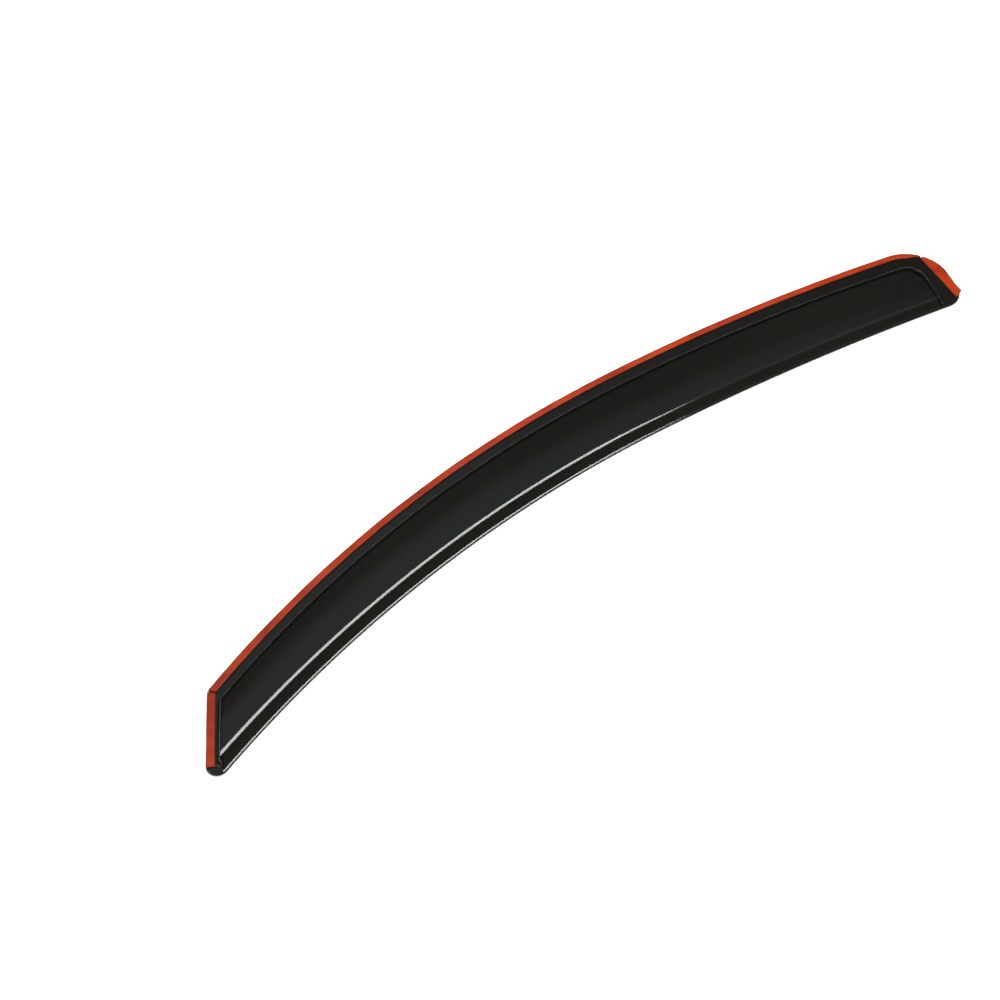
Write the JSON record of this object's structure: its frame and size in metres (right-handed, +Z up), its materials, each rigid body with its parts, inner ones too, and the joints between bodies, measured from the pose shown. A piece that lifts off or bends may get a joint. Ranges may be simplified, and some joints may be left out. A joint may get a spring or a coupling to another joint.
{
  "type": "window rain deflector",
  "caption": "Curved smoke-tinted rain deflector shell for a front side window, with a taped flange on three sides and a turned-down free edge",
  "frame": {"origin": "middle of the part's footprint, on the surface that it lies on, hollow side down", "axes": "+X along the part from the slanted front end to the rounded rear end, +Y towards the taped channel edge, +Z up, out of the face"},
  "size_m": [0.9488, 0.161, 0.012],
  "materials": {
    "smoke_acrylic": "smoke-tinted clear acrylic, polished",
    "foam_tape": "dark grey acrylic foam tape",
    "release_liner": "orange-red release liner film, satin"
  },
  "bodies": {
    "root": {"visor_shell": "smoke_acrylic", "tape_channel_edge": "foam_tape", "tape_front_end": "foam_tape", "tape_rear_end": "foam_tape", "liner_channel_edge": "release_liner", "liner_front_end": "release_liner", "liner_rear_end": "release_liner"}
  },
  "joints": []
}
